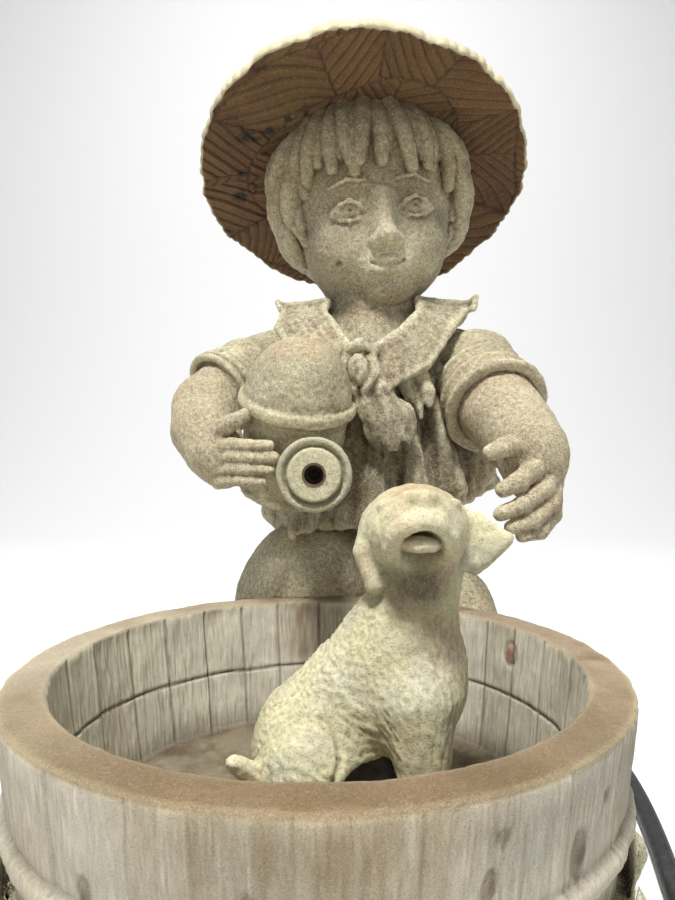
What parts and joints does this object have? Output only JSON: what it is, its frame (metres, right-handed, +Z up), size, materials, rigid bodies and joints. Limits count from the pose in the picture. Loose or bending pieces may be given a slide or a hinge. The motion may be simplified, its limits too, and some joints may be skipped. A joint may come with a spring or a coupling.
{
  "type": "tabletop fountain",
  "caption": "Cast-stone tabletop fountain with a submersible pump: a kneeling child tips a watering can over a puppy that sits in a round stave tub, and a black mains lead leaves the base.",
  "frame": {"origin": "on the tub's axis at the underside of the base, which rests on the ground", "axes": "+Z up, -Y towards the front of the tub, with the child behind it at +Y, and +X to the viewer's right"},
  "size_m": [0.3696, 0.332, 0.367],
  "materials": {
    "tub_stone": "weathered",
    "base_stone": "weathered",
    "figure_stone": "weathered",
    "hat_stone": "weathered",
    "can_stone": "weathered",
    "rose_stone": "weathered",
    "dog_stone": "weathered",
    "steel": "satin",
    "spring_steel": "satin",
    "clear_vinyl": "clear",
    "nozzle_plastic": "matt",
    "bung_rubber": "matt",
    "pump_plastic": "satin",
    "dial_plastic": "satin",
    "impeller_plastic": "satin",
    "core_steel": "laminated",
    "copper": "enamelled",
    "resin": "poured",
    "ferrite": "ground",
    "ceramic": "ground",
    "bush_rubber": "matt",
    "gland_rubber": "matt",
    "cup_rubber": "satin",
    "lead_pvc": "satin",
    "relief_rubber": "matt",
    "tie_plastic": "matt",
    "plug_pvc": "satin",
    "pin_metal": "plated"
  },
  "bodies": {
    "fountain": {"wash_tub": "tub_stone", "ground_base": "base_stone", "kneeling_legs": "figure_stone", "torso": "figure_stone", "head": "figure_stone", "right_arm": "figure_stone", "left_arm": "figure_stone", "straw_hat": "hat_stone", "watering_can": "can_stone", "spout_rose": "rose_stone", "neck_dowel": "steel", "waist_dowel": "steel", "hose_clamp": "spring_steel", "riser_tube": "clear_vinyl", "nozzle_insert": "nozzle_plastic", "tube_bung": "bung_rubber", "lead_bung": "bung_rubber", "motor_housing": "pump_plastic", "impeller_chamber": "pump_plastic", "intake_strainer": "pump_plastic", "stator_core": "core_steel", "coil_winding": "copper", "potting_resin": "resin", "ceramic_shaft": "ceramic", "rear_bush": "bush_rubber", "front_bush": "bush_rubber", "chamber_seal": "bush_rubber", "cable_gland": "gland_rubber", "suction_cups": "cup_rubber", "lead_inner": "lead_pvc", "lead_run": "lead_pvc", "lead_tail": "lead_pvc", "lead_coil": "lead_pvc", "strain_relief": "relief_rubber", "coil_tie": "tie_plastic", "plug_body": "plug_pvc", "plug_blades": "pin_metal", "plug_ground_pin": "pin_metal"},
    "rotor": {"rotor_magnet": "ferrite", "impeller": "impeller_plastic"},
    "dial": {"flow_dial": "dial_plastic"},
    "puppy": {"dog_cover": "dog_stone"}
  },
  "joints": [
    {"name": "impeller_spin", "type": "hinge", "parent": "fountain", "child": "rotor", "pos_m": [0, 0.006, 0.06], "axis": [1, 0, 0], "continuous": true},
    {"name": "flow_dial_turn", "type": "hinge", "parent": "fountain", "child": "dial", "pos_m": [-0.0115, 0.006, 0.06], "axis": [1, 0, 0], "range_deg": [0, 90]},
    {"name": "dog_lift", "type": "slide", "parent": "fountain", "child": "puppy", "axis": [0, 0, 1], "range_m": [0, 0.07]}
  ]
}
